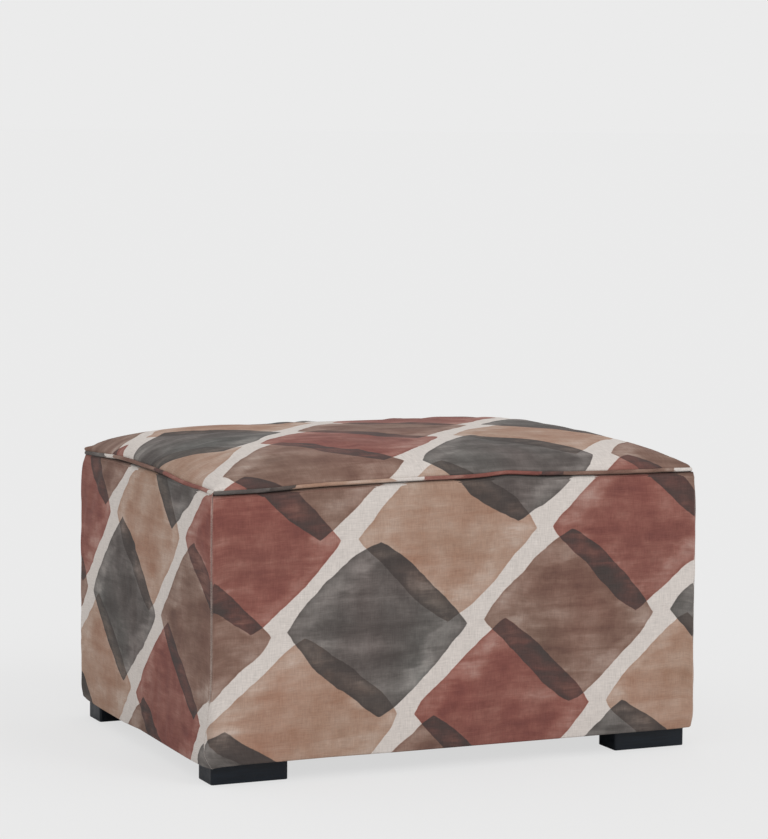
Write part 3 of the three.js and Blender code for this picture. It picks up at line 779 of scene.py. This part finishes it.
PANEL_STEP = 4.5 * MM
NEAR_SEAM = np.cumsum([0, 0.25, 0.3, 0.35, 0.45, 0.6, 0.8, 1.1, 1.5, 2.0, 2.7, 3.4]) * MM
FINE_FROM = 0.88  # the share of a wall's height from which its points lie closer
FINE_POINTS = 17
HEM_STEPS = 5
FOLD_STEPS = 6
TUCK_STEPS = 4
GROOVE_DEPTH = 0.5 * MM
GROOVE_WIDTH = 0.35 * MM
RUB_WIDTH = 1.0 * MM
# How far down the wall, under the piping, the painted shade reaches
PAINTED_SHADE_HEIGHT = 1.6 * MM
RIDGE_HEIGHT = 0.25 * MM
RIDGE_PLACE = 2.4 * MM
RIDGE_WIDTH = 1.5 * MM
STITCH_PITCH = 3.8 * MM
STITCH_PULL = 0.10 * MM
PUCKER_SPACING = 7 * MM
PUCKER_HEIGHT = 0.32 * MM
PUCKER_REACH = 9 * MM
HEM_DRAW = 2.4 * MM
HEM_DRAW_REACH = 16 * MM
HEM_DRAW_HEIGHT = 8 * MM
UNDER_PIPING = 0.2 * MM
TUCK_IN = 4.2 * MM
TUCK_UP = 0.9 * MM
CREVICE_INSET = 6.6 * MM
CREVICE_HEIGHT = 2.5 * MM
CREVICE_CLOSED = 0.9
CREVICE_CORNER = 9 * MM
DRIFT = 17 * MM
DRIFT_REACH = 45 * MM
DRIFT_HEIGHT = 37 * MM
DRIFT_SPREAD = 42 * MM
DROP_SHARE = 0.12
FOLD_HANG = 3 * MM
SIDE_STARTS = (0.0, 0.530, 1.06, -0.530)  # where on the print the middle of each side lies
HIDDEN_IN_SEAM = 6 * MM


def wall_top(place):
    """The height at which a side panel meets the piping."""
    return seam_at(place[..., 0], place[..., 1]) - PIPING - UNDER_PIPING


def wall_points(side, along, share, inset):
    """Points of a side's wall at shares of its height."""
    place = side_place(side, along, inset, 0.0)
    place[..., 2] = WALL_BOTTOM + share * (wall_top(place) - WALL_BOTTOM)
    return place


def seam_drift(side, along, height):
    """How far a side's points lie off their even places: the front left seam runs askew low down."""
    low = DRIFT * bell(height - DRIFT_HEIGHT, DRIFT_SPREAD)
    low = low * np.clip((height - BASE) / (DRIFT_HEIGHT - BASE), 0, 1)
    if side.name == "front":
        return -low * bell(along + side.end, DRIFT_REACH)
    if side.name == "left":
        return -low * bell(side.end - along, DRIFT_REACH)
    return 0.0


def hem_drop(side, along, share):
    """How far a side's points hang below their even places, near the hem."""
    places, drops = HEM_DROPS[side.name]
    return np.interp(along / MM, places, drops) * MM * bell(share, DROP_SHARE)


def corner_draw(to_corner, height):
    """How far the cover is drawn in at its lowest corners, where it is folded under."""
    return HEM_DRAW * bell(to_corner, HEM_DRAW_REACH) * bell(height - BASE, HEM_DRAW_HEIGHT)


def seam_relief(to_seam, height):
    """The groove of an upright seam, the ridge of its allowance and the pull of its stitches."""
    groove = GROOVE_DEPTH * bell(to_seam, GROOVE_WIDTH)
    ridge = RIDGE_HEIGHT * bell(to_seam - RIDGE_PLACE, RIDGE_WIDTH)
    pull = STITCH_PULL * np.cos(2 * math.pi * height / STITCH_PITCH)
    return groove - ridge + pull * bell(to_seam, RIDGE_PLACE)


def side_profile():
    """A side panel's section: shares of the wall's height, insets beyond the wall's, and lifts."""
    low = np.arange(0, FINE_FROM, PANEL_STEP / WALL_HEIGHT)
    wall = np.concatenate([low[:-1], np.linspace(FINE_FROM, 1, FINE_POINTS)])
    hem = np.linspace(TURN_UNDER, FOLD, HEM_STEPS + 1)[:-1]
    arc = np.linspace(0, QUARTER, FOLD_STEPS + 1)[:-1]
    tuck = np.linspace(0, 1, TUCK_STEPS + 1)[1:]
    share = np.concatenate([0 * hem, 0 * arc, wall, 1 + 0 * tuck])
    inset = np.concatenate([hem, FOLD * (1 - np.sin(arc)), 0 * wall, TUCK_IN * tuck])
    lift = np.concatenate([0 * hem - FOLD, -FOLD * np.cos(arc), 0 * wall, TUCK_UP * tuck])
    return share[:, None], inset[:, None], lift[:, None]


def add_side(side, paint, cloth_start):
    """One side panel: folded under the base, up its wall and tucked in under the piping."""
    name, end, seed = side.name, side.end, side.quarters + 1
    coarse_along = np.linspace(-end, end, round(2 * end / CLOTH_STEP))
    coarse_share = np.linspace(0, 1, round((SEAM_Z - WALL_BOTTOM) / CLOTH_STEP))[:, None]
    coarse_inset = wall_inset(side, coarse_share, coarse_along)
    folds = simulated_folds(wall_points(side, coarse_along, coarse_share, coarse_inset), seed)

    along = crowded(2 * end, PANEL_STEP, NEAR_SEAM) - end
    share, inset, lift = side_profile()
    fold = sampled(folds, share[:, 0], (along + end) / (2 * end))
    hanging = np.clip(1 - (inset - FOLD) / FOLD_HANG, 0, 1)
    inset = inset + wall_inset(side, share, along)
    place = wall_points(side, along, share, inset)
    height = place[..., 2] + lift
    shifted = along + seam_drift(side, along, height)
    to_seam = end - np.abs(along)
    below = wall_top(place) - height
    puckers = wavering(along, PUCKER_SPACING, seed)
    pucker = PUCKER_HEIGHT * puckers * bell(below, PUCKER_REACH) * (share < 1)
    closed = 1 - CREVICE_CLOSED * bell(to_seam, CREVICE_CORNER)
    depth = np.maximum(CREVICE_INSET - wall_inset(side, 1.0, along), 0)
    crevice = depth * closed * bell(below, CREVICE_HEIGHT)
    moved = inset - fold - pucker + crevice
    moved = moved + seam_relief(to_seam, height) + corner_draw(end - np.abs(shifted), height)
    points = side_place(side, shifted, moved, 0.0)
    points[..., 2] = height - hanging * hem_drop(side, along, share)

    run = run_lengths(points, 0)
    edge = bell(to_seam, RUB_WIDTH) - bell(below, PAINTED_SHADE_HEIGHT)  # rubbed wear at the upright seams, or painted shade under the piping
    cloth = stacked(along + cloth_start[0], cloth_start[1] - (run[-1:] - run), edge)
    points = turned(points, side.quarters)
    piece = grid_piece(name + "_panel", name + "_cover", points, cloth, paint, FABRIC)


# The top panel

TOP_EDGE_LIFT = 0.5 * MM
TOP_TUCK = 0.9 * MM
TOP_TUCK_REACH = 2.2 * MM
TOP_PUFF_WIDTH = 1.2 * MM
TOP_PUSH_REACH = 9 * MM
TOP_CORNER_ROUND = 1.2 * MM
TOP_RISE = CROWN + PIPING - 0.3 * MM - TOP_EDGE_LIFT
NEAR_TOP = np.array([0, 0.015, 0.06, 0.14, 0.26, 0.42, 0.64, 0.95, 1.4, 2, 2.9, 4.1, 5.8, 8, 11, 15]) * MM
TOP_PUCKER = 0.35 * MM
TOP_FOLD_SEED = 11
TOP_PUCKER_SEEDS = (21, 22)


def top_points(across, back):
    """Points of the crowned top, from places on the rectangle that its seam bounds."""
    place, half = np.stack([across, back]), np.array([SEAM_X, SEAM_Y])[:, None, None]
    size, straight = np.abs(place), half - TOP_CORNER_ROUND
    bent = np.maximum(size - straight, 0)
    round_ = bent * np.sqrt(1 - (bent[::-1] / TOP_CORNER_ROUND) ** 2 / 2)
    x, y = np.sign(place) * (np.minimum(size, straight) + round_)
    over = TOP_RISE * crown_share(across, back)
    puff = 1 - np.exp((size - half).max(0) / TOP_PUFF_WIDTH)
    height = seam_at(x, y) + TOP_EDGE_LIFT + over
    out = -TOP_TUCK * bell(over, TOP_TUCK_REACH)
    for at_x, at_y, rise, reach, pushed in CORNER_TOPS:
        away = np.hypot(x - at_x, y - at_y)
        height = height + rise * puff * bell(away, reach)
        out = out + pushed * puff * bell(away, TOP_PUSH_REACH)
    way = np.sign(place) * np.exp((size - half) / TOP_TUCK_REACH)
    way = out * way / np.maximum(np.hypot(*way), 1e-9)
    return stacked(x + way[0], y + way[1], height)


def add_top(paint):
    """The crowned top panel, drawn down behind the piping. Gives half its run over the middle."""
    halves = (SEAM_X, SEAM_Y)
    coarse = (np.linspace(-half, half, round(2 * half / CLOTH_STEP)) for half in halves)
    folds = simulated_folds(top_points(*np.meshgrid(*coarse)), TOP_FOLD_SEED)
    row, column = (crowded(2 * half, PANEL_STEP, NEAR_TOP) - half for half in halves)
    across, back = np.meshgrid(row, column)
    points = top_points(across, back)
    fold = sampled(folds, (column + SEAM_Y) / (2 * SEAM_Y), (row + SEAM_X) / (2 * SEAM_X))
    waves = wavering(row, PUCKER_SPACING, TOP_PUCKER_SEEDS[0])
    lines = wavering(column, PUCKER_SPACING, TOP_PUCKER_SEEDS[1])
    pucker = waves * np.exp((np.abs(back) - SEAM_Y) / PUCKER_REACH)
    pucker = pucker + lines[:, None] * np.exp((np.abs(across) - SEAM_X) / PUCKER_REACH)
    points = points + outward(points) * (fold + TOP_PUCKER * pucker)[..., None]
    run_x, run_y = run_lengths(points, 1), run_lengths(points, 0)
    middle_x, middle_y = len(row) // 2, len(column) // 2
    cloth = stacked(run_x - run_x[:, [middle_x]], run_y - run_y[[middle_y]], 0)
    piece = grid_piece("top_panel", "top_cover", points, cloth, paint, FABRIC)
    return float(run_y[:, middle_x].max()) / 2


# The piping, its cord, and the stitches of the upright seams

PIPING_STEP = 3 * MM
PIPING_CORNER_STEPS = 5
PIPING_CORNER_ROUND = 1.5 * MM
PIPING_SIDES = 14
CORE_SIDES = 10
PIPING_SEED = 31
PIPING_WANDER = 0.22 * MM
PIPING_SWELL = 0.04
PIPING_WAVES = (21 * MM, 17 * MM, 9 * MM)  # of its wander sideways and upwards, and of its swell
PIPING_JOIN = 30 * MM  # over which these fade out where it meets itself
PIPING_CORNER_LIFT = 0.3 * MM
PIPING_CORNER_REACH = 9 * MM
PIPING_PUSH_SHARE = 0.12
PIPING_CORNER_DRAW = 0.8 * MM
PIPING_PRINT = (228 * MM, 12 * MM)  # where on the print its strip starts
PIPING_SLANT = math.radians(20)  # and how the strip slants across the cloth
PIPING_PAINTED_SHADE = (0.4, 0.9)  # how far down its round the painted shade on its underside starts, and where it is deepest
STITCH_RADIUS = 0.24 * MM
STITCH_REACH = 1.05 * MM
STITCH_SINK = (0.105 * MM, 0.195 * MM)  # of its middle, and how much more at its ends
STITCH_SLANT = 0.7 * MM
STITCH_SIDES = 5
STITCH_POINTS = 5


def tube_points(path, frames, angle):
    """Rings of points round a path, from two vectors as long as the radius at each of its points."""
    circle = stacked(np.cos(angle), np.sin(angle))
    return path[:, None, :] + np.einsum("sk,pkd->psd", circle, frames)


def add_seam_tube(name, node, radius, sides, paint):
    """A tube in the seam all round the stool, a little uneven as sewn piping is."""
    centre, out = ring(SEAM_INSET, PIPING_STEP, PIPING_CORNER_STEPS, PIPING_CORNER_ROUND)
    along = run_lengths(centre, 0)
    fade = np.minimum(1, np.minimum(along, along[-1] - along) / PIPING_JOIN)
    waves = [wavering(along, length, PIPING_SEED + i) for i, length in enumerate(PIPING_WAVES)]
    sideways, upwards, swell = fade * waves
    from_corner = np.linalg.norm((SEAM_X, SEAM_Y) - np.abs(centre[:, :2]), axis=1)
    upwards = PIPING_WANDER * upwards + PIPING_CORNER_LIFT * bell(from_corner, PIPING_CORNER_REACH)
    sideways = PIPING_WANDER * sideways
    for at_x, at_y, _, _, pushed in CORNER_TOPS:
        from_corner = np.hypot(centre[:, 0] - at_x, centre[:, 1] - at_y)
        outwards = PIPING_PUSH_SHARE * pushed - PIPING_CORNER_DRAW
        sideways = sideways + outwards * bell(from_corner, PIPING_CORNER_REACH)
    up = 0 * out + (0, 0, 1)
    centre = centre + out * sideways[:, None] + up * upwards[:, None]
    reach = radius * (1 + PIPING_SWELL * swell)
    angle = np.linspace(0, 2 * math.pi, sides, endpoint=False)
    points = tube_points(centre, np.stack([out, up], 1) * reach[:, None, None], angle)
    # The strip meets itself on the inner side, which is out of sight
    girth = ((angle + math.pi) % (2 * math.pi) - math.pi) * radius
    # Painted shade on the piping's underside, carried in the cloth's third channel
    painted_shade = np.interp(-np.sin(angle), PIPING_PAINTED_SHADE, (0, -1))
    run = along[:, None]
    c, s = math.cos(PIPING_SLANT), math.sin(PIPING_SLANT)
    cloth = (PIPING_PRINT[0] + c * run + s * girth, PIPING_PRINT[1] + s * run - c * girth, painted_shade)
    grid_piece(name, node, points, stacked(*cloth), paint)


def add_corner_stitches(side, paint):
    """The stitches that show across the upright seam at the right end of a side."""
    end = side.end
    across = np.linspace(-1, 1, STITCH_POINTS)
    angle = np.linspace(0, 2 * math.pi, STITCH_SIDES, endpoint=False)
    count = int(WALL_HEIGHT / STITCH_PITCH) - 2
    points, faces = [], []
    for k in range(count):
        height = WALL_BOTTOM + (k + 1.5) * STITCH_PITCH + STITCH_SLANT * across / 2
        share = (height - WALL_BOTTOM) / WALL_HEIGHT
        sunk = STITCH_SINK[0] + STITCH_SINK[1] * across**2
        centre = end + seam_drift(side, end, height)
        along = centre + STITCH_REACH * across
        inset = wall_inset(side, share, end) + corner_draw(end - centre, height) + sunk
        path = side_place(side, along, inset, height - hem_drop(side, end, share))
        turn = np.maximum(along - (side.half - CORNER), 0) / CORNER
        direction = unit(np.gradient(path, axis=0))
        out = stacked(np.sin(turn), -np.cos(turn), 0)
        out = unit(out - (out * direction).sum(1, keepdims=True) * direction)
        frames = np.stack([out, np.cross(direction, out)], 1) * STITCH_RADIUS
        points.append(tube_points(path, frames, angle).reshape(-1, 3))
        faces += rod_faces(STITCH_POINTS, STITCH_SIDES, k * STITCH_POINTS * STITCH_SIDES)
    points = turned(np.concatenate(points), side.quarters)
    run = np.repeat(np.arange(STITCH_POINTS), STITCH_SIDES) * STITCH_REACH / 2
    girth = np.tile(np.arange(STITCH_SIDES), STITCH_POINTS) * STITCH_RADIUS
    cloth = np.tile(stacked(run, girth, 0), (count, 1))
    name = "stitches_" + CORNERS[side.quarters]
    mesh_piece(name, points, faces, paint, cloth)


# What lies inside and underneath

PADDING = 4 * MM
PADDING_INSET = 1.8 * MM
PADDING_SHARES = (0.01, 0.96)
PADDING_ROWS = 27
WADDING_INSET = 7.0 * MM
WADDING_SIDE = 6 * MM
WADDING_NECK = 12.2 * MM  # its inset where it turns over the edge, clear of the seam
WADDING_SHOULDER = 14 * MM
WADDING_TOP = 10 * MM
WADDING_RISE = CROWN - 3.2 * MM + PIPING
FOAM_INSET = 13.3 * MM
FOAM_BOTTOM = 268.2 * MM
FOAM_RISE = WADDING_RISE - WADDING_TOP - 0.3 * MM
LAYER_REACH = HALF_Y * 0.8
LAYER_RINGS = 14


def add_side_pad(side, paint):
    """The thin padding behind a side panel."""
    inner = side._replace(end=side.end - PADDING)
    along = np.linspace(-inner.end, inner.end, round(2 * inner.end / LAYER_STEP) + 1)
    share = np.linspace(*PADDING_SHARES, PADDING_ROWS)[:, None]
    height = WALL_BOTTOM + share * WALL_HEIGHT
    drawn = corner_draw(inner.end - np.abs(along), height)
    inset = wall_inset(inner, share, along) + PADDING_INSET + drawn
    points = wall_points(inner, along, share, inset)
    flat = stacked(along, points[..., 2], 0)
    points = turned(points, side.quarters)
    piece = grid_piece(side.name + "_pad", side.name + "_padding", points, flat, paint, PADDING)


def crown_rings(inset, rise):
    """Rings of a crowned layer, from its edge towards the middle."""
    edge, _ = ring(SEAM_INSET)
    level = crown_share(edge[:, 0], edge[:, 1])
    rings = []
    for share in np.linspace(0, 1, LAYER_RINGS) ** 2:
        further = LAYER_REACH * share
        points, _ = ring(further + inset * (1 - share) + SEAM_INSET * share)
        at_seam, _ = ring(SEAM_INSET + further)
        risen = crown_share(at_seam[:, 0], at_seam[:, 1])
        points[:, 2] += rise * (risen - level * max(0, 1 - further / CORNER))
        rings.append(points)
    return rings


def add_layer(name, node, rings, paint):
    """A closed soft layer through a row of rings, closed by a point in the middle of each end."""
    points = np.concatenate([*rings, rings[0].mean(0)[None], rings[-1].mean(0)[None]])
    count = len(rings[0])
    faces = grid_faces(len(rings), count, columns_join=True)
    first, last = len(points) - 2, len(points) - 1
    start = (len(rings) - 1) * count
    for i in range(count):
        j = (i + 1) % count
        faces += [[first, j, i], [last, start + i, start + j]]
    piece = mesh_piece(name, points, faces, paint)
    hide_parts(node)


def add_layers():
    """The wadding over the foam, and the foam block."""
    outer = crown_rings(WADDING_NECK, WADDING_RISE)
    inner = crown_rings(WADDING_INSET + WADDING_SIDE, WADDING_RISE - WADDING_TOP)
    shoulder, _ = ring(WADDING_INSET)
    shoulder[:, 2] -= WADDING_SHOULDER
    block = crown_rings(FOAM_INSET, FOAM_RISE)
    above = (inner[0], shoulder, block[0])
    hems = [stacked(points[:, 0], points[:, 1], FOAM_BOTTOM) for points in above]
    white = wadding()
    for side in SIDES:
        add_side_pad(side, white)
    rings = [*inner[::-1], *hems[:2], shoulder, *outer]
    add_layer("wadding_layer", "seat_wadding", rings, white)
    add_layer("foam_block", "seat_foam", [hems[2], *block], foam())


SHEET_STEP = 8 * MM
LINING_SAG = 2.4 * MM
SAG_REACH = 90 * MM  # how far from its edge a sheet hangs free, and from a foot
SAG_FOOT_REACH = 60 * MM
RIPPLE_X = (23 * MM, 61 * MM)  # the lengths of its ripples, and of what bends them
RIPPLE_Y = (31 * MM, 47 * MM)
STAPLE_SPACING = 43 * MM
STAPLE_INSET = 5 * MM
STAPLE_SIZE = (10 * MM, 1.2 * MM, 0.6 * MM, 3 * MM)  # its crown's length, width and thickness, and its leg
STAPLE_STRAY = 3 * MM
STAPLE_SLANT = 0.2
STAPLE_SEED = 5
FOOT_MARGIN = 8 * MM


def clear_of_feet(x, y, margin):
    """How clear of the feet a place is: 0 over a foot, and 1 at a margin from it."""
    clear = 1
    for corner in CORNERS:
        spans = zip((x, y), *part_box("foot_" + corner))
        off = [np.maximum(np.maximum(low - at, at - high), 0) for at, low, high in spans]
        clear = np.minimum(clear, np.hypot(*off) / margin)
    return clear


def add_flat_sheet(name, node, paint, sag):
    """A sheet in the place of a flat CAD one, which hangs a little between its fixings."""
    low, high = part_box(node)
    spans = zip(low.xy, high.xy)
    x, y = np.meshgrid(*(np.linspace(a, b, round((b - a) / SHEET_STEP)) for a, b in spans))
    to_edge = np.min([x - low.x, high.x - x, y - low.y, high.y - y], axis=0)
    free = np.clip(to_edge / SAG_REACH, 0, 1) * clear_of_feet(x, y, SAG_FOOT_REACH)
    free = free * free * (3 - 2 * free)
    ripple = 0.5 + 0.5 * np.sin(x / RIPPLE_X[0] + 1.3 * np.sin(y / RIPPLE_X[1]))
    ripple *= 0.5 + 0.5 * np.cos(y / RIPPLE_Y[0] + 0.9 * np.sin(x / RIPPLE_Y[1]))
    z = high.z - sag * free * (0.75 + 0.25 * ripple)
    piece = grid_piece(name, node, stacked(x, y, z), stacked(x, y, 0), paint, high.z - low.z)


def add_staples(paint):
    """The staples round the lining's edge, each a flat crown with two legs."""
    low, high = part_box("dust_cover")
    lengths = (high.x - STAPLE_INSET, high.y - STAPLE_INSET)
    random = np.random.default_rng(STAPLE_SEED)
    length, width, thick, leg = STAPLE_SIZE
    end, soft, both = length / 2, thick / 3, (-width / 2, width / 2)
    outline = [(end - soft, 0), (end, soft), (end, leg)]
    outline += [(end - thick, leg), (end - thick, thick + soft), (end - thick - soft, thick)]
    outline += [(-u, z) for u, z in reversed(outline)]
    points, faces = [], []
    for quarters in range(4):
        half, reach = lengths[quarters % 2], lengths[1 - quarters % 2]
        count = int(2 * half / STAPLE_SPACING)
        for k in range(count):
            along = (k + 0.5) * 2 * half / count - half + random.uniform(-1, 1) * STAPLE_STRAY
            slant = random.uniform(-STAPLE_SLANT, STAPLE_SLANT)
            c, s = math.cos(slant), math.sin(slant)
            loop = [(c * u - s * v, s * u + c * v, z) for v in both for u, z in outline]
            loop = turned(np.array(loop) + (along, -reach, low.z - thick), quarters)
            if clear_of_feet(loop[:, 0], loop[:, 1], FOOT_MARGIN).min() < 1:
                continue
            faces += rod_faces(2, len(outline), len(points))
            points.extend(loop.tolist())
    mesh_piece("base_staples", points, faces, paint, smooth=False)


def dress_frame():
    """Gives the CAD nodes that stay their materials."""
    webbing = (linear(34, 34, 36), linear(70, 70, 74), 1.6 * MM, 0.4 * MM, 0.8, linear(150, 60, 50))
    finishes = {
        "foot_screw_": plated("zinc_steel", linear(196, 198, 202)),
        "foot_": stained_wood(),
        "glide_": moulded("glide_plastic", linear(46, 48, 52), 0.35),
        "webbing_": woven("webbing", *webbing),
    }
    pine = [timber(axis) for axis in range(3)]
    board = hardboard()
    for name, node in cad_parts.items():
        low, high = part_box(name)
        size = high - low
        lengthwise = pine[max(range(3), key=lambda axis: size[axis])]
        own = [finish for start, finish in finishes.items() if name.startswith(start)]
        paint = board if name.endswith("_board") else [*own, lengthwise][0]
        if not node.material_slots:
            node.data.materials.append(paint)
        for slot in node.material_slots:
            slot.material = paint


def build():
    bpy.context.scene.view_settings.view_transform = "Standard"
    add_camera()
    add_world()
    add_key_light()
    add_floor()
    dress_frame()

    linen = printed_linen()
    down = -add_top(linen) - HIDDEN_IN_SEAM
    for side, start in zip(SIDES, SIDE_STARTS):
        add_side(side, linen, (start, down))
    add_seam_tube("piping", "piping_strip", PIPING, PIPING_SIDES, linen)
    cotton = twisted("cotton_cord", linear(200, 192, 172), linear(236, 230, 214), 2.4 * MM)
    add_seam_tube("piping_core", "piping_cord", PIPING_CORE, CORE_SIDES, cotton)
    thread = twisted("thread", linear(140, 118, 104), linear(196, 178, 164), 0.6 * MM)
    for side in SIDES:
        add_corner_stitches(side, thread)

    add_layers()
    hessian = woven("hessian", linear(140, 112, 74), linear(196, 168, 120), 2.0 * MM, 0.5 * MM, 0.95)
    add_flat_sheet("hessian_sheet", "platform_cloth", hessian, 0.0)
    add_flat_sheet("base_lining", "dust_cover", lining(), LINING_SAG)
    add_staples(plated("staple_steel", linear(180, 182, 186)))


build()
